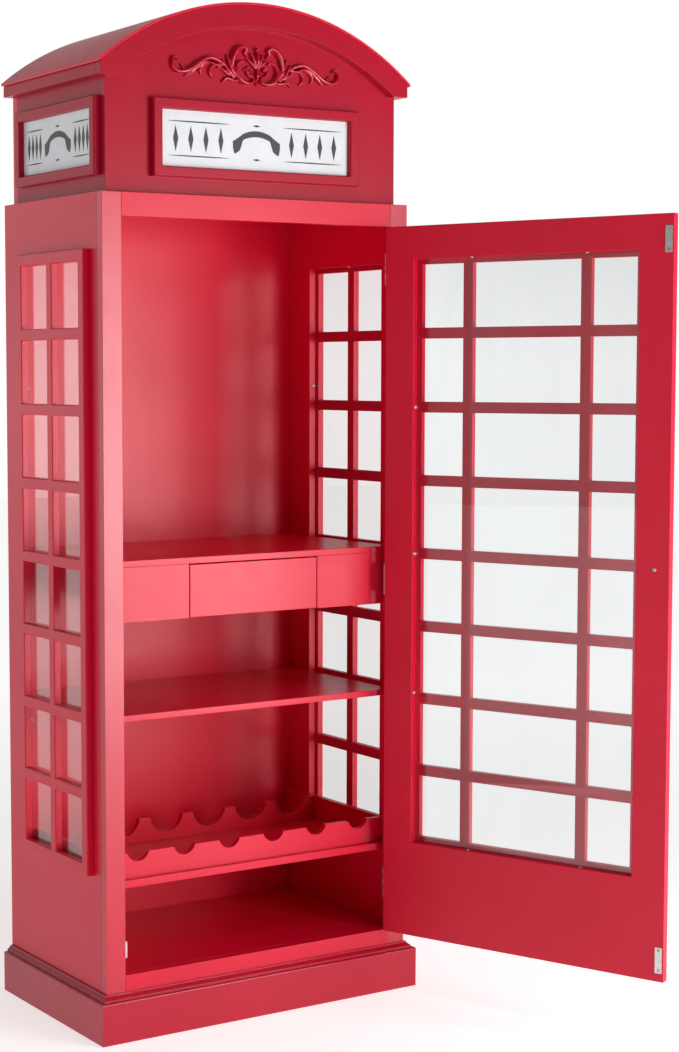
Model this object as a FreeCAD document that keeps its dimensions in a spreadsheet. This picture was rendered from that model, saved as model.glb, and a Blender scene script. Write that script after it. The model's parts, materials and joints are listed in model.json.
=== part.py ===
import FreeCAD, Part
import os
import re
import Sketcher

# A bar cabinet in the shape of a telephone booth, in millimetres. X runs to the right, Y to
# the back and Z up. The origin is on the floor, under the middle of the cabinet's body.
# Every size below goes into the sheet "Sizes", and the pieces are bound to its cells.
SIZES = {
    # carcass
    "body_width": 675,
    "body_depth": 390,
    "body_top": 1545.5,
    "board": 18,
    "base_gap": 1,
    "post_width": 40,
    "opening_bottom": 120.5,
    "opening_top": 1502.5,
    "rail_hidden": 60,
    "ceiling_board": 12,
    "back_board": 6,
    "back_recess": 3,
    # plinth skirting with its stepped moulding
    "plinth_overhang": 18,
    "plinth_face": 79,
    "plinth_top": 90,
    "plinth_nose": 4,
    "plinth_step": 7,
    "plinth_step_rise": 3,
    "plinth_bead": 4,
    "plinth_bead_rise": 2,
    # head and barrel roof
    "head_inset": 18,
    "head_inset_front": 19,
    "head_inset_back": 4,
    "head_top": 1751,
    "arch_centre": 1365,
    "arch_radius": 531.5,
    "arch_band": 40,
    "roof_sheet": 4,
    "roof_lip": 5,
    "roof_lip_front": 3,
    # sign frames and plates
    "sign_low": 1577,
    "sign_high": 1718,
    "sign_width": 452,
    "sign_width_side": 318,
    "sign_border": 19,
    "sign_proud": 13.5,
    "sign_plate": 3,
    "sign_gap": 0.5,
    "frame_chamfer": 2,
    # carved ornament, plain outline
    "ornament_width": 378,
    "ornament_height": 74,
    "ornament_low": 1750,
    "ornament_proud": 14,
    # glazed lattices
    "lattice_proud": 13.5,
    "lattice_chamfer": 1.5,
    "muntin": 20.8,
    "window_front": -147.5,
    "window_width": 270,
    "window_low": 302,
    "window_height": 1144,
    "window_border": 21.5,
    "glass": 4,
    "glass_gap": 0.5,
    "rebate": 10,
    "door_rebate": 10.5,
    # screws that hold the glass
    "screw_head": 4,
    "screw_head_thick": 2.5,
    "screw_shank": 1.6,
    "screw_bite": 12,
    # door
    "pin_forward": 3.5,
    "pin_radius": 1.5,
    "pin_clearance": 0.1,
    "knuckle_radius": 3.2,
    "knuckle_gap": 0.4,
    "leaf": 1.5,
    "leaf_wide": 20,
    "hinge_tall": 60,
    "hinge_low": 190,
    "hinge_step": 600,
    "door_hinge_gap": 3.5,
    "door_width": 588.5,
    "door_thick": 16.5,
    "door_gap": 2,
    "door_open": 112.2,
    "door_window_near": 64,
    "door_window_wide": 462,
    "door_window_low": 308,
    "door_window_high": 1438,
    "door_pane_edge": 89,
    # catches, strike plates and knob
    "strike_far": 588,
    "strike_wide": 13.5,
    "strike_tall": 47,
    "strike_thick": 1.5,
    "strike_low": 139,
    "strike_high": 1432,
    "strike_screw": 3,
    "strike_screw_inset": 5,
    "strike_screw_play": 0.2,
    "catch_case_deep": 14,
    "catch_reach_low": 8.5,
    "catch_reach_high": 4.5,
    "catch_tall": 30,
    "catch_clearance": 0.4,
    "knob_from_pin": 562,
    "knob_height": 870.5,
    "knob_radius": 15,
    "knob_long": 28,
    "knob_screw": 1.75,
    "knob_screw_head": 2,
    # drawer unit
    "unit_front": -171,
    "unit_low": 768,
    "worktop_low": 869.5,
    "worktop_board": 12,
    "drawer_half": 142.5,
    "drawer_gap": 2,
    "drawer_gap_low": 1,
    "drawer_side": 12,
    "drawer_side_tall": 80,
    "drawer_lift": 8,
    "drawer_long": 300,
    "drawer_panel": 5,
    "runner_wall": 10,
    "runner_ledge": 9,
    "runner_clearance": 1.5,
    "runner_play": 0.4,
    # shelf and bottle rack
    "shelf_front": -174,
    "shelf_low": 585.5,
    "shelf_board": 12,
    "shelf_pin": 2.5,
    "shelf_pin_long": 16,
    "shelf_pin_front": -158,
    "shelf_pin_back": 150,
    "rack_front": -172,
    "rack_low": 276,
    "rack_board": 14,
    "rack_rail": 12,
    "rack_rail_tall": 48,
    "rack_rail_setback": 11,
    "rack_back_rail": 76,
    "bottle_pitch": 100,
    "neck_radius": 23.7,
    "neck_rise": 6.7,
    "bottle_radius": 37.8,
    "bottle_rise": 4.8,
    # feet
    "foot_radius": 15,
    "foot_thick": 6,
    "foot_stem": 4,
    "foot_stem_top": 45,
    "block_wide": 40,
    "block_tall": 40,
    # how far a cutting tool runs past the face it cuts
    "overcut": 1,
}
BOTTLES = 6
WINDOW_ROWS = 8
HINGES = 3
KNUCKLES = 5

# Where the screws round the glass stand, as shares of the window's width or height.
WINDOW_SCREWS_UP = (0.22, 0.5, 0.78)
DOOR_SCREWS_ACROSS = (0.26, 0.77)
DOOR_SCREWS_UP = (0.26, 0.5, 0.75)

# Half of the ornament's outline, as shares of its width and height.
ORNAMENT_OUTLINE = [
    (0.0, 0.0), (0.12, 0.12), (0.2, 0.2), (0.32, 0.2), (0.46, 0.12), (0.5, 0.5),
    (0.46, 0.62), (0.36, 0.44), (0.24, 0.62), (0.16, 0.66), (0.0, 1.0),
]

# The turned knob's profile, as shares of its radius and length, from the door outwards.
KNOB_PROFILE = [
    (0.6, 0.0), (0.6, 0.1), (0.38, 0.2), (0.34, 0.42), (0.84, 0.6), (1.0, 0.76),
    (0.86, 0.92), (0.5, 1.0),
]

# Planes of the cabinet that many pieces share, as formulas of the sheet.
SIDE = "body_width / 2"
INNER = "body_width / 2 - board"
OPENING = "body_width / 2 - post_width"
FRONT = "-body_depth / 2"
BACK = "body_depth / 2"
FRAME_BACK = "-body_depth / 2 + board"
PANEL_FRONT = "body_depth / 2 - back_recess - back_board"
PANEL_BACK = "body_depth / 2 - back_recess"
HEAD_SIDE = "body_width / 2 - head_inset"
HEAD_FRONT = "-body_depth / 2 + head_inset_front"
HEAD_BACK = "body_depth / 2 - head_inset_back"
PIN_X = "body_width / 2 - post_width - door_hinge_gap / 2"
PIN_Y = "-body_depth / 2 - pin_forward"
WINDOW_PANE = f"(window_height - 2 * window_border - {WINDOW_ROWS - 1} * muntin) / {WINDOW_ROWS}"

# Planes of the shut door, measured from its hinge pin.
DOOR_NEAR = "-door_hinge_gap / 2"
DOOR_FAR = "-door_hinge_gap / 2 - door_width"
DOOR_OUTER = "pin_forward"
DOOR_INNER = "pin_forward + door_thick"

DOC = FreeCAD.newDocument("telephone_booth_cabinet")
SHEET = DOC.addObject("Spreadsheet::Sheet", "Sizes")
NODES = []


def fill_sheet():
    """Writes each size into the sheet, with its name beside it and as its alias."""
    for row, (name, value) in enumerate(SIZES.items(), start=1):
        SHEET.set(f"A{row}", name)
        SHEET.set(f"B{row}", str(value))
        SHEET.setAlias(f"B{row}", name)
    DOC.recompute()


def sized(formula):
    """Turns each size's name in a formula into its cell of the sheet."""
    def cell(word):
        return f"Sizes.{word.group()}" if word.group() in SIZES else word.group()
    return re.sub(r"[a-z][a-z_]*", cell, formula)


def bind(thing, path, formula):
    thing.setExpression(path, sized(formula))


def place(thing, x, y, z, on_door=False):
    """Binds a thing's position, in the cabinet's frame or from the hinge pin of the open door."""
    if not on_door:
        bind(thing, "Placement.Base.x", x)
        bind(thing, "Placement.Base.y", y)
        bind(thing, "Placement.Base.z", z)
        return
    turn = "door_open * 1 deg"
    thing.Placement.Rotation = FreeCAD.Rotation(FreeCAD.Vector(0, 0, 1), SIZES["door_open"])
    bind(thing, "Placement.Rotation.Angle", turn)
    bind(thing, "Placement.Base.x", f"{PIN_X} + ({x}) * cos({turn}) - ({y}) * sin({turn})")
    bind(thing, "Placement.Base.y", f"{PIN_Y} + ({x}) * sin({turn}) + ({y}) * cos({turn})")
    bind(thing, "Placement.Base.z", z)


def node(thing, label):
    """Marks a thing as a sub-part of the cabinet, to be written to its own file."""
    thing.Label = label
    NODES.append(thing)
    return thing


# ---- primitives and booleans ----

def block(x, y, z, on_door=False):
    """A box between two planes on each axis, given as pairs of formulas."""
    box = DOC.addObject("Part::Box", "Block")
    for side, (low, high) in zip(("Length", "Width", "Height"), (x, y, z)):
        bind(box, side, f"({high}) - ({low})")
    place(box, x[0], y[0], z[0], on_door)
    return box


def rod(x, y, z, radius, long, axis):
    """A round rod that starts at a point and runs along an axis."""
    cylinder = DOC.addObject("Part::Cylinder", "Rod")
    up = FreeCAD.Vector(0, 0, 1)
    cylinder.Placement.Rotation = FreeCAD.Rotation(up, FreeCAD.Vector(*axis))
    bind(cylinder, "Radius", radius)
    bind(cylinder, "Height", long)
    place(cylinder, x, y, z)
    return cylinder


def fused(pieces):
    join = DOC.addObject("Part::MultiFuse", "Joined")
    join.Shapes = pieces
    return join


def grouped(pieces):
    """Several separate solids that share one node."""
    group = DOC.addObject("Part::Compound", "Group")
    group.Links = pieces
    return group


def cut(base, tools):
    hollow = DOC.addObject("Part::Cut", "Hollowed")
    hollow.Base = base
    hollow.Tool = tools[0] if len(tools) == 1 else fused(tools)
    return hollow


def common(first, second):
    shared = DOC.addObject("Part::MultiCommon", "Trimmed")
    shared.Shapes = [first, second]
    return shared


def mirrored(low, high):
    """The same pair of planes on the other side of the middle."""
    return f"-({high})", f"-({low})"


def both_sides(low, high):
    """The left and the right pair of planes for a piece that both sides have."""
    return {"left": mirrored(low, high), "right": (low, high)}


# ---- part design helpers ----

def new_body(label, x, y, z, on_door=False):
    body = DOC.addObject("PartDesign::Body", label)
    place(body, x, y, z, on_door)
    return node(body, label)


def new_sketch(body, plane):
    """A sketch on one of the body's own origin planes."""
    sketch = body.newObject("Sketcher::SketchObject", f"{body.Label}_outline")
    support = next(item for item in body.Origin.OriginFeatures if item.Role == plane)
    sketch.AttachmentSupport = (support, [""])
    sketch.MapMode = "FlatFace"
    return sketch


def pin_down(sketch, line, end, direction, formula):
    """Fixes one coordinate of a line's end to a formula, or to the axis where it is zero."""
    if formula == "0":
        axis = -2 if direction == "DistanceX" else -1
        sketch.addConstraint(Sketcher.Constraint("PointOnObject", line, end, axis))
        return
    start = 1.0
    index = sketch.addConstraint(Sketcher.Constraint(direction, -1, 1, line, end, start))
    bind(sketch, f"Constraints[{index}]", formula)


def outline(sketch, corners):
    """A closed outline of straight lines through corners given as formulas."""
    first = sketch.GeometryCount
    count = len(corners)
    for place_in_row in range(count):
        start = FreeCAD.Vector(place_in_row, place_in_row ** 2, 0)
        after = (place_in_row + 1) % count
        sketch.addGeometry(Part.LineSegment(start, FreeCAD.Vector(after, after ** 2, 0)))
    for line in range(count):
        after = first + (line + 1) % count
        sketch.addConstraint(Sketcher.Constraint("Coincident", first + line, 2, after, 1))
    for line, (across, along) in enumerate(corners):
        pin_down(sketch, first + line, 1, "DistanceX", across)
        pin_down(sketch, first + line, 1, "DistanceY", along)


def rectangle(sketch, left, bottom, wide, tall):
    right = wide if left == "0" else f"{left} + {wide}"
    top = tall if bottom == "0" else f"{bottom} + {tall}"
    outline(sketch, [(left, bottom), (right, bottom), (right, top), (left, top)])


def pad(body, sketch, long, backwards=False):
    feature = body.newObject("PartDesign::Pad", f"{body.Label}_pad")
    feature.Profile = sketch
    feature.Reversed = backwards
    bind(feature, "Length", long)
    DOC.recompute()
    return feature


def pocket(body, sketch, backwards=False):
    """A cut right through the body, checked to take material away."""
    before = body.Shape.Volume
    feature = body.newObject("PartDesign::Pocket", f"{body.Label}_pocket")
    feature.Profile = sketch
    feature.Type = "ThroughAll"
    feature.Reversed = backwards
    DOC.recompute()
    if body.Shape.Volume >= before:
        raise RuntimeError(f"{body.Label}: the pocket cuts nothing")
    return feature


def edges_at(shape, axis, level):
    """Names of the edges that lie wholly in one plane across an axis."""
    names = []
    for number, edge in enumerate(shape.Edges, start=1):
        box = edge.BoundBox
        low = getattr(box, f"{axis}Min")
        high = getattr(box, f"{axis}Max")
        if abs(low - level) < 1e-4 and abs(high - level) < 1e-4:
            names.append(f"Edge{number}")
    return names


def edges_along(shape, axis, points):
    """Names of the straight edges along an axis that pass through one of the points."""
    others = [name for name in "XYZ" if name != axis]
    names = []
    for number, edge in enumerate(shape.Edges, start=1):
        box = edge.BoundBox
        spot = [getattr(box, f"{name}Min") for name in others]
        end = [getattr(box, f"{name}Max") for name in others]
        straight = all(abs(a - b) < 1e-4 for a, b in zip(spot, end))
        near = any(all(abs(a - b) < 1e-3 for a, b in zip(spot, point)) for point in points)
        if straight and near:
            names.append(f"Edge{number}")
    return names


def bevel(body, kind, edges, size):
    """A chamfer or a fillet of one size on some edges of the body's last feature."""
    base = body.Tip
    feature = body.newObject(f"PartDesign::{kind}", f"{body.Label}_{kind}")
    feature.Base = (base, edges)
    bind(feature, "Size" if kind == "Chamfer" else "Radius", size)
    DOC.recompute()
    if feature.Shape.isNull() or not edges:
        raise RuntimeError(f"{body.Label}: the {kind} failed")
    return feature


# ---- plinth ----

def plinth_profile(sketch, sign):
    """The skirting's section: a flat face, a rounded nose, a step and a bead at the wall."""
    face_top = "plinth_face - base_gap"
    top = "plinth_top - base_gap"
    wall = f"{sign}plinth_overhang"
    bead = f"{sign}(plinth_overhang - plinth_bead)"
    step = f"{sign}plinth_step"
    outline(sketch, [
        ("0", "0"),
        (wall, "0"),
        (wall, top),
        (bead, top),
        (bead, f"{top} - plinth_bead_rise"),
        (step, f"{face_top} + plinth_step_rise"),
        (step, face_top),
        ("0", face_top),
    ])


def skirting(label, x, plane, sign, long, along, mitres):
    """One mitred board of the plinth, with its moulded top edge."""
    body = new_body(label, x, f"{FRONT} - plinth_overhang", "base_gap")
    sketch = new_sketch(body, plane)
    plinth_profile(sketch, sign)
    pad(body, sketch, long, backwards=along == "Y")
    nose_height = SIZES["plinth_face"] - SIZES["base_gap"]
    nose = edges_along(body.Tip.Shape, along, [(0.0, nose_height)])
    bevel(body, "Fillet", nose, "plinth_nose")
    for corners in mitres:
        corner = new_sketch(body, "XY_Plane")
        outline(corner, corners)
        pocket(body, corner, backwards=True)


def plinth():
    wide = "body_width + 2 * plinth_overhang"
    deep = "body_depth + plinth_overhang"
    out = "plinth_overhang"
    left = f"-({SIDE}) - {out}"
    front_mitres = [
        [("0", "0"), (out, out), ("0", out)],
        [(wide, "0"), (wide, out), (f"{wide} - {out}", out)],
    ]
    skirting("plinth_front", left, "YZ_Plane", "", wide, "X", front_mitres)
    left_mitre = [("0", "0"), (out, out), (out, "0")]
    skirting("plinth_left", left, "XZ_Plane", "", deep, "Y", [left_mitre])
    right_mitre = [("0", "0"), (f"-{out}", out), (f"-{out}", "0")]
    skirting("plinth_right", f"{SIDE} + {out}", "XZ_Plane", "-", deep, "Y", [right_mitre])


# ---- carcass ----

def window_opening():
    """The planes of the opening behind a side lattice, along the depth and the height."""
    low_y = "window_front + muntin - rebate"
    high_y = "window_front + window_width - muntin + rebate"
    low_z = "window_low + window_border - rebate"
    high_z = "window_low + window_height - window_border + rebate"
    return (low_y, high_y), (low_z, high_z)


def window_screw_spots():
    """Where screws go round a side window: edge, position along it, and the way they point."""
    (low_y, high_y), (low_z, high_z) = window_opening()
    middle = "window_front + window_width / 2"
    spots = [(middle, high_z, (0, 0, 1)), (middle, low_z, (0, 0, -1))]
    for share in WINDOW_SCREWS_UP:
        height = f"window_low + window_height * {share}"
        spots.append((low_y, height, (0, -1, 0)))
        spots.append((high_y, height, (0, 1, 0)))
    return spots


def side_panel(side, sign):
    """A side wall with its window opening, and holes for the shelf pins and the screws."""
    wall = both_sides(INNER, SIDE)[side]
    ys, zs = window_opening()
    base = block(wall, (FRAME_BACK, BACK), ("base_gap", "body_top"))
    tools = [block((f"{wall[0]} - overcut", f"{wall[1]} + overcut"), ys, zs)]
    for y in ("shelf_pin_front", "shelf_pin_back"):
        x = f"{sign}({INNER})"
        z = "shelf_low - shelf_pin"
        tools.append(rod(x, y, z, "shelf_pin", "shelf_pin_long / 2", (int(sign + "1"), 0, 0)))
    x = f"{sign}({SIDE} - glass - screw_head)"
    for y, z, axis in window_screw_spots():
        tools.append(rod(x, y, z, "screw_shank", "screw_bite", axis))
    node(cut(base, tools), f"side_panel_{side}")


def carcass():
    full_height = ("base_gap", "body_top")
    frame = (FRONT, FRAME_BACK)
    inside = (FRAME_BACK, PANEL_FRONT)
    between = mirrored("0", OPENING)[0], OPENING
    room = f"-({INNER})", INNER
    for side, sign in (("left", "-"), ("right", "+")):
        side_panel(side, sign)
        post = block(both_sides(OPENING, SIDE)[side], frame, full_height)
        node(post, f"post_{side}")
    node(block(between, frame, ("opening_top", "body_top")), "rail_top")
    node(block(between, frame, ("rail_hidden", "opening_bottom")), "rail_bottom")
    node(block(room, inside, ("opening_bottom - board", "opening_bottom")), "floor_panel")
    node(block(room, inside, ("body_top - ceiling_board", "body_top")), "ceiling_panel")
    node(block(room, (PANEL_FRONT, PANEL_BACK), full_height), "back_panel")


# ---- head and roof ----

def barrel(radius, low_y, high_y):
    """The round body of the barrel roof between two planes along the depth."""
    return rod("0", low_y, "arch_centre", radius, f"({high_y}) - ({low_y})", (0, 1, 0))


def under_roof(x, y, low_z, label):
    """A board of the head whose top follows the barrel roof."""
    tall = block(x, y, (low_z, "arch_centre + arch_radius + overcut"))
    node(common(tall, barrel("arch_radius", y[0], y[1])), label)


def head():
    wide = f"-({HEAD_SIDE})", HEAD_SIDE
    front = HEAD_FRONT, f"{HEAD_FRONT} + board"
    back = f"{HEAD_BACK} - board", HEAD_BACK
    between = front[1], back[0]
    under_roof(wide, front, "body_top", "head_front")
    under_roof(wide, back, "body_top", "head_back")
    walls = both_sides(f"{HEAD_SIDE} - board", HEAD_SIDE)
    eaves = both_sides(HEAD_SIDE, SIDE)
    for side in ("left", "right"):
        under_roof(walls[side], between, "body_top", f"head_side_{side}")
        under_roof(eaves[side], (HEAD_FRONT, BACK), "head_top", f"eave_{side}")


def arch_fascia():
    """The raised band that follows the arch on the front."""
    y = FRONT, HEAD_FRONT
    ring = cut(barrel("arch_radius", *y), [barrel("arch_radius - arch_band", *y)])
    trim = block((f"-({SIDE})", SIDE), y, ("head_top", "arch_centre + arch_radius + overcut"))
    node(common(ring, trim), "arch_fascia")


def roof_sheet():
    """The thin sheet over the roof, with a small lip past the fascia and the eaves."""
    y = f"{FRONT} - roof_lip_front", BACK
    ring = cut(barrel("arch_radius + roof_sheet", *y), [barrel("arch_radius", *y)])
    x = f"-({SIDE}) - roof_lip", f"{SIDE} + roof_lip"
    trim = block(x, y, ("head_top", "arch_centre + arch_radius + roof_sheet + overcut"))
    node(common(ring, trim), "roof_sheet")


# ---- frames and lattices ----

def framed(label, position, plane, size, holes, proud, backwards, on_door=False):
    """A flat frame with rectangular holes and a chamfer round its outer face."""
    body = new_body(label, *position, on_door)
    sketch = new_sketch(body, plane)
    rectangle(sketch, "0", "0", *size)
    for hole in holes:
        rectangle(sketch, *hole)
    pad(body, sketch, proud, backwards)
    return body


def chamfer_face(body, axis, level, size):
    bevel(body, "Chamfer", edges_at(body.Tip.Shape, axis, level), size)


def sign_frames():
    height = "sign_high - sign_low"
    border = "sign_border"
    proud = "sign_proud"

    def hole(wide):
        return [(border, border, f"{wide} - 2 * {border}", f"{height} - 2 * {border}")]

    front = ("-sign_width / 2", HEAD_FRONT, "sign_low")
    size = ("sign_width", height)
    body = framed("sign_frame_front", front, "XZ_Plane", size, hole("sign_width"), proud, False)
    chamfer_face(body, "Y", -SIZES["sign_proud"], "frame_chamfer")
    size = ("sign_width_side", height)
    for side, sign, outward in (("left", "-", -1), ("right", "+", 1)):
        position = (f"{sign}({HEAD_SIDE})", "-sign_width_side / 2", "sign_low")
        label = f"sign_frame_{side}"
        holes = hole("sign_width_side")
        body = framed(label, position, "YZ_Plane", size, holes, proud, outward < 0)
        chamfer_face(body, "X", outward * SIZES["sign_proud"], "frame_chamfer")


def sign_plates():
    """The three white plates inside the sign frames."""
    low = "sign_low + sign_border + sign_gap"
    high = "sign_high - sign_border - sign_gap"
    half = "sign_width / 2 - sign_border - sign_gap"
    half_side = "sign_width_side / 2 - sign_border - sign_gap"
    plates = [block((f"-({half})", half), (f"{HEAD_FRONT} - sign_plate", HEAD_FRONT), (low, high))]
    for wall in both_sides(HEAD_SIDE, f"{HEAD_SIDE} + sign_plate").values():
        plates.append(block(wall, (f"-({half_side})", half_side), (low, high)))
    node(grouped(plates), "sign_plates")


def ornament():
    """A closed solid of the ornament's outline: a shield in the middle and two tapered arms."""
    body = new_body("ornament", "0", HEAD_FRONT, "ornament_low")
    sketch = new_sketch(body, "XZ_Plane")
    right = [(f"ornament_width * {x}", f"ornament_height * {z}") for x, z in ORNAMENT_OUTLINE]
    right[0] = ("0", "0")
    right[-1] = ("0", "ornament_height")
    left = [(f"-{x}", z) for x, z in reversed(right[1:-1])]
    outline(sketch, right + left)
    pad(body, sketch, "ornament_proud")


def lattice_rows(body, plane, columns, pane):
    """Cuts the lowest row of panes and repeats it up to the top row."""
    sketch = new_sketch(body, plane)
    for left, wide in columns:
        rectangle(sketch, left, "window_border", wide, pane)
    row = pocket(body, sketch, backwards=body.Tip.Reversed is False)
    rows = body.newObject("PartDesign::LinearPattern", f"{body.Label}_rows")
    rows.Originals = [row]
    rows.Direction = (sketch, ["V_Axis"])
    bind(rows, "Length", f"({pane} + muntin) * {WINDOW_ROWS - 1}")
    rows.Occurrences = WINDOW_ROWS
    body.Tip = rows
    DOC.recompute()


def side_lattice(side, sign, outward):
    position = (f"{sign}({SIDE})", "window_front", "window_low")
    size = ("window_width", "window_height")
    label = f"window_lattice_{side}"
    body = framed(label, position, "YZ_Plane", size, [], "lattice_proud", outward < 0)
    pane_wide = "(window_width - 3 * muntin) / 2"
    columns = [("muntin", pane_wide), (f"2 * muntin + {pane_wide}", pane_wide)]
    lattice_rows(body, "YZ_Plane", columns, WINDOW_PANE)
    chamfer_face(body, "X", outward * SIZES["lattice_proud"], "lattice_chamfer")


def glass_screw(x, y, z, axis, on_door=False):
    """A round-headed screw in a window's edge, whose head keeps the glass in place."""
    inward = tuple(-part for part in axis)
    head_piece = rod(x, y, z, "screw_head", "screw_head_thick", inward)
    shank = rod(x, y, z, "screw_shank", "screw_bite", axis)
    return fused([head_piece, shank])


def side_windows():
    (low_y, high_y), (low_z, high_z) = window_opening()
    ys = f"{low_y} + glass_gap", f"{high_y} - glass_gap"
    zs = f"{low_z} + glass_gap", f"{high_z} - glass_gap"
    screws = []
    for side, sign, outward in (("left", "-", -1), ("right", "+", 1)):
        side_lattice(side, sign, outward)
        wall = both_sides(f"{SIDE} - glass", SIDE)[side]
        node(block(wall, ys, zs), f"window_glass_{side}")
        x = f"{sign}({SIDE} - glass - screw_head)"
        screws += [glass_screw(x, y, z, axis) for y, z, axis in window_screw_spots()]
    node(grouped(screws), "window_glass_screws")


# ---- shelf and bottle rack ----

def shelf():
    room = f"-({INNER})", INNER
    top = "shelf_low + shelf_board"
    node(block(room, ("shelf_front", PANEL_FRONT), ("shelf_low", top)), "shelf")
    pins = []
    for outward in (-1, 1):
        for y in ("shelf_pin_front", "shelf_pin_back"):
            x = f"{outward} * ({INNER} - shelf_pin_long / 2)"
            z = "shelf_low - shelf_pin"
            pins.append(rod(x, y, z, "shelf_pin", "shelf_pin_long", (outward, 0, 0)))
    node(grouped(pins), "shelf_pins")


def notched_rail(label, y, radius, rise):
    """A rail of the rack with a row of round notches along its top edge."""
    low = "rack_low + rack_board"
    top = f"{low} + rack_rail_tall"
    base = block((f"-({INNER})", INNER), (y, f"{y} + rack_rail"), (low, top))
    notches = []
    for bottle in range(BOTTLES):
        x = f"bottle_pitch * {bottle - (BOTTLES - 1) / 2}"
        notches.append(rod(x, f"{y} - overcut", f"{top} + {rise}", radius, "rack_rail + 2 * overcut", (0, 1, 0)))
    node(cut(base, notches), label)


def bottle_rack():
    room = f"-({INNER})", INNER
    top = "rack_low + rack_board"
    node(block(room, ("rack_front", PANEL_FRONT), ("rack_low", top)), "rack_board")
    front = "rack_front + rack_rail_setback"
    notched_rail("rack_front_rail", front, "neck_radius", "neck_rise")
    notched_rail("rack_back_rail", "rack_back_rail", "bottle_radius", "bottle_rise")
    walls = both_sides(f"{INNER} - rack_rail", INNER)
    sides = []
    for wall in walls.values():
        for y in ((f"{front} + rack_rail", "rack_back_rail"),
                  ("rack_back_rail + rack_rail", PANEL_FRONT)):
            sides.append(block(wall, y, (top, f"{top} + rack_rail_tall")))
    node(grouped(sides), "rack_sides")


# ---- drawer unit ----

def drawer_unit():
    """The fixed part round the drawer: the top, the two aprons and the runners."""
    room = f"-({INNER})", INNER
    high = "worktop_low"
    top = f"{high} + worktop_board"
    node(block(room, ("unit_front", PANEL_FRONT), (high, top)), "worktop")
    aprons = both_sides("drawer_half + drawer_gap", INNER)
    for side, wide in aprons.items():
        apron = block(wide, ("unit_front", "unit_front + board"), ("unit_low", high))
        node(apron, f"apron_{side}")
    low = "unit_low + drawer_lift - runner_play - runner_ledge"
    runners = []
    outer = "drawer_half + drawer_gap + runner_wall"
    walls = both_sides("drawer_half + drawer_gap", outer)
    ledges = both_sides("drawer_half - drawer_side + runner_clearance", outer)
    for side in ("left", "right"):
        deep = ("unit_front + board", PANEL_FRONT)
        clear_of_front = ("unit_front + board + runner_play", PANEL_FRONT)
        ledge = block(ledges[side], clear_of_front, (low, f"{low} + runner_ledge"))
        upright = block(walls[side], deep, (f"{low} + runner_ledge", f"{low} + drawer_side_tall"))
        runners.append(fused([upright, ledge]))
    node(grouped(runners), "drawer_runners")


def drawer():
    """The drawer itself: a front, two sides, a back and a bottom panel held by all four."""
    back = "unit_front + drawer_long"
    low = "unit_low + drawer_lift"
    high = f"{low} + drawer_side_tall"
    face = ("unit_front", "unit_front + board")
    front_z = ("unit_low + drawer_gap_low", "worktop_low - drawer_gap")
    node(block(("-drawer_half", "drawer_half"), face, front_z), "drawer_front")
    inner = "drawer_half - drawer_side"
    walls = both_sides(inner, "drawer_half")
    for side, wall in walls.items():
        node(block(wall, ("unit_front + board", back), (low, high)), f"drawer_side_{side}")
    across = f"-({inner})", inner
    panel_top = f"{low} + drawer_panel"
    node(block(across, (f"{back} - drawer_side", back), (low, high)), "drawer_back")
    deep = ("unit_front + board", f"{back} - drawer_side")
    node(block(across, deep, (low, panel_top)), "drawer_bottom")


# ---- door ----

def door_window():
    """The planes of the door's opening, from the hinge pin of the shut door."""
    near = "-door_window_near"
    return (f"{near} - door_window_wide", near), ("door_window_low", "door_window_high")


def door_screw_spots():
    (low_x, high_x), (low_z, high_z) = door_window()
    spots = []
    for share in DOOR_SCREWS_ACROSS:
        x = f"-door_window_near - door_window_wide * {share}"
        spots.append((x, high_z, (0, 0, 1)))
        spots.append((x, low_z, (0, 0, -1)))
    for share in DOOR_SCREWS_UP:
        z = f"door_window_low + (door_window_high - door_window_low) * {share}"
        spots.append((low_x, z, (-1, 0, 0)))
        spots.append((high_x, z, (1, 0, 0)))
    return spots


def swing_open(thing, label):
    """Turns a piece drawn on the shut door to where it is on the open door."""
    place(thing, "0", "0", "0", on_door=True)
    return node(thing, label)


def door_board():
    """The door's one board with its window and the holes for screws."""
    ys = (DOOR_OUTER, DOOR_INNER)
    zs = ("opening_bottom + door_gap", "opening_top - door_gap")
    base = block((DOOR_FAR, DOOR_NEAR), ys, zs)
    window_x, window_z = door_window()
    past = (f"{ys[0]} - overcut", f"{ys[1]} + overcut")
    tools = [block(window_x, past, window_z)]
    y = f"{DOOR_OUTER} + glass + screw_head"
    for x, z, axis in door_screw_spots():
        tools.append(rod(x, y, z, "screw_shank", "screw_bite", axis))
    tools.append(rod("-knob_from_pin", past[0], "knob_height", "knob_screw",
                     "door_thick + 2 * overcut", (0, 1, 0)))
    for x, z in strike_screw_spots():
        tools.append(rod(x, f"{DOOR_INNER} - screw_bite", z, "screw_shank",
                         "screw_bite + overcut", (0, 1, 0)))
    swing_open(cut(base, tools), "door_board")


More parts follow.
